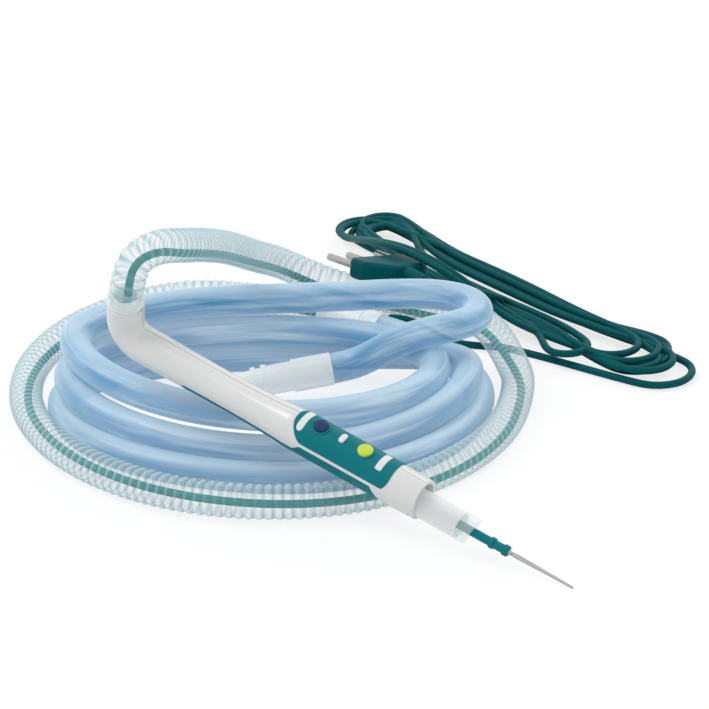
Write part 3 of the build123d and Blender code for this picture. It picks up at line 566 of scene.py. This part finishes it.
# The two halves of the handle meet in a fine line along its top
seam_nodes = shell_white.node_tree.nodes
shader = seam_nodes["Principled BSDF"]
seam_links = shell_white.node_tree.links
SEAM_ACROSS = Vector((0.061737, 0.965926, 0.251348))
SEAM_SHIFT = 0.0015
SEAM_HALF_WIDTH = 0.00022
SEAM_POINT = Vector((-0.121256, 0.003355, 0.061328)) + SEAM_ACROSS * SEAM_SHIFT
seam_place = seam_nodes.new("ShaderNodeTexCoord")
seam_dot = seam_nodes.new("ShaderNodeVectorMath")
seam_dot.operation = "DOT_PRODUCT"
seam_dot.inputs[1].default_value = SEAM_ACROSS
seam_links.new(seam_place.outputs["Object"], seam_dot.inputs[0])
seam_near = seam_nodes.new("ShaderNodeMath")
seam_near.operation = "COMPARE"
seam_near.inputs[1].default_value = SEAM_ACROSS.dot(SEAM_POINT)
seam_near.inputs[2].default_value = SEAM_HALF_WIDTH
seam_links.new(seam_dot.outputs["Value"], seam_near.inputs[0])
seam_mix = seam_nodes.new("ShaderNodeMix")
seam_mix.data_type = "RGBA"
seam_mix.inputs["B"].default_value = (0.4, 0.4, 0.38, 1.0)
seam_links.new(shader.inputs["Base Color"].links[0].from_socket, seam_mix.inputs["A"])
seam_links.new(seam_near.outputs["Value"], seam_mix.inputs["Factor"])
seam_links.new(seam_mix.outputs["Result"], shader.inputs["Base Color"])
trim_white = plastic("trim_white", (0.82, 0.83, 0.8), 0.3, variation=0.01)
teal = plastic("teal_moulded", (0.0, 0.19, 0.215), 0.45, grain=0.1, shine=0.15)
teal_cable = plastic("teal_jacket", (0.0, 0.1, 0.108), 0.4, grain=0.08, variation=0.14, shine=0.06)
# A lighter copy of the cable's teal, painted lighter so that the cable shows through the hose as if lit.
teal_jacket_lit = plastic("teal_jacket_lit_copy", (0.0, 0.29, 0.27), 0.5, grain=0.08, variation=0.14, shine=0.1)
navy = plastic("navy_gloss", (0.008, 0.035, 0.12), 0.25, coat=0.05, shine=0.25)
lime = plastic("lime_gloss", (0.62, 0.74, 0.04), 0.28, coat=0.3)
# The hose's rib valleys get painted shade.
hose_clear = clear("hose_clear", (0.74, 0.89, 0.92), (0.84, 0.92, 0.94), 0.12, 0.75, 0.12, 0.05,
                   ribs=PITCH * MM)
# The tubing gets painted highlight streaks and a paler, painted-lit upper side.
tube_blue = clear("tube_blue", (0.04, 0.29, 0.57), (0.7, 0.88, 0.96), 0.62, 0.85, 0.2, 0.07, 0.85, True)
cuff_clear = clear("cuff_clear", (0.84, 0.87, 0.86), (0.93, 0.96, 0.95), 0.55, 0.9, 0.15, 0.12)
frosted = clear("frosted", (0.78, 0.8, 0.79), (0.88, 0.91, 0.9), 0.6, 0.92, 0.25, 0.12)
tip_clear = clear("tip_clear", (0.85, 0.9, 0.9), (0.92, 0.96, 0.96), 0.15, 0.7, 0.08, 0.12)
steel = metal("steel", (0.42, 0.42, 0.41), 0.3)
brass = metal("brass", (0.7, 0.5, 0.22), 0.3)
inner_white = plastic("inner_white", (0.75, 0.77, 0.78), 0.4)
board = plastic("board_green", (0.02, 0.16, 0.07), 0.4)
wire = plastic("wire_red", (0.5, 0.03, 0.02), 0.4)
print("materials", len(bpy.data.materials))

# %% [markdown]
# Each solid takes the finish of the real piece, by name, and the tubes take theirs.

# %% Dress the pieces
FINISH = {
    "upper_shell": shell_white, "lower_cover": teal, "button_panel": teal, "coag_button": navy,
    "cut_button": lime, "finger_locator": trim_white, "coag_plate": trim_white, "cut_plate": trim_white,
    "nozzle_tube": frosted, "nozzle_tip": tip_clear, "electrode_hub": teal, "electrode_blade": steel,
    "hose_cuff": cuff_clear, "circuit_board": board, "coag_dome": steel, "cut_dome": steel,
    "socket_holder": inner_white, "electrode_socket": brass, "conductor_leads": wire,
    "cable_clamp": inner_white, "hose_coupling": cuff_clear, "cable_gland": teal_cable,
    "adapter_cuff": cuff_clear, "stepped_adapter": cuff_clear, "plug_relief": teal_cable,
    "plug_body": teal_cable, "plug_pin_1": steel, "plug_pin_2": steel, "plug_pin_3": steel,
}
for node, finish in FINISH.items():
    piece = bpy.data.objects[node]
    if not piece.material_slots:
        piece.data.materials.append(finish)
    for place in piece.material_slots:
        place.material = finish
TUBES = ((hose, hose_clear), (tubing, tube_blue), (inner_cable, teal_jacket_lit), (cable, teal_cable))
for piece, finish in TUBES:
    piece.data.materials.append(finish)
print("dressed", len(FINISH) + len(TUBES))

# %% [markdown]
# A pale floor keeps a soft shadow. The camera sees it and the world as white, while the pieces
# are lit by a plain level, so that their colours look as written.

# %% Floor, world and lights
made, nodes, links, output = material("floor")
diffuse = nodes.new("ShaderNodeBsdfDiffuse")
diffuse.inputs["Color"].default_value = (0.9, 0.9, 0.9, 1.0)
glow = nodes.new("ShaderNodeEmission")
glow.inputs["Strength"].default_value = 1.08
path = nodes.new("ShaderNodeLightPath")
share = nodes.new("ShaderNodeMath")
share.operation = "MULTIPLY"
share.inputs[1].default_value = 0.7
links.new(path.outputs["Is Camera Ray"], share.inputs[0])
mix = nodes.new("ShaderNodeMixShader")
links.new(share.outputs["Value"], mix.inputs["Fac"])
links.new(diffuse.outputs["BSDF"], mix.inputs[1])
links.new(glow.outputs["Emission"], mix.inputs[2])
links.new(mix.outputs["Shader"], output.inputs["Surface"])
floor_shape = bmesh.new()
bmesh.ops.create_grid(floor_shape, x_segments=1, y_segments=1, size=6.0)
floor_mesh = bpy.data.meshes.new("floor")
floor_shape.to_mesh(floor_mesh)
floor_shape.free()
floor_mesh.materials.append(made)
floor = bpy.data.objects.new("floor", floor_mesh)
floor.location.z = -0.0002
bpy.context.scene.collection.objects.link(floor)

world = bpy.data.worlds.new("world")
bpy.context.scene.world = world
world.use_nodes = True
nodes = world.node_tree.nodes
links = world.node_tree.links
nodes.clear()
output = nodes.new("ShaderNodeOutputWorld")
path = nodes.new("ShaderNodeLightPath")
seen = nodes.new("ShaderNodeMath")
seen.operation = "MAXIMUM"
links.new(path.outputs["Is Camera Ray"], seen.inputs[0])
links.new(path.outputs["Is Transmission Ray"], seen.inputs[1])
plain = nodes.new("ShaderNodeBackground")
plain.inputs["Color"].default_value = (0.93, 0.96, 1.0, 1.0)
plain.inputs["Strength"].default_value = 0.6
white = nodes.new("ShaderNodeBackground")
white.inputs["Strength"].default_value = 1.0
white.inputs["Color"].default_value = (1.0, 1.0, 1.0, 1.0)
mix = nodes.new("ShaderNodeMixShader")
glossy = nodes.new("ShaderNodeMath")
glossy.operation = "MAXIMUM"
links.new(seen.outputs["Value"], glossy.inputs[0])
links.new(path.outputs["Is Glossy Ray"], glossy.inputs[1])
links.new(glossy.outputs["Value"], mix.inputs["Fac"])
links.new(plain.outputs["Background"], mix.inputs[1])
links.new(white.outputs["Background"], mix.inputs[2])
links.new(mix.outputs["Shader"], output.inputs["Surface"])


def area_light(name, place, target, size, power):
    """A square lamp in watts that looks at its target."""
    data = bpy.data.lights.new(name, "AREA")
    data.size = size
    data.energy = power
    lamp = bpy.data.objects.new(name, data)
    lamp.location = place
    lamp.rotation_euler = (Vector(target) - Vector(place)).to_track_quat("-Z", "Y").to_euler()
    bpy.context.scene.collection.objects.link(lamp)


area_light("key", (-1.0, -0.4, 1.6), (-0.1, 0.1, 0.0), 0.9, 12.0)
area_light("fill", (1.2, -1.0, 1.2), (-0.1, 0.1, 0.0), 1.2, 4.0)
area_light("back", (0.2, 1.6, 1.3), (-0.1, 0.1, 0.0), 1.2, 8.0)

# %% [markdown]
# The view layer is brought up to date.

# %% Update the view layer
bpy.context.view_layer.update()
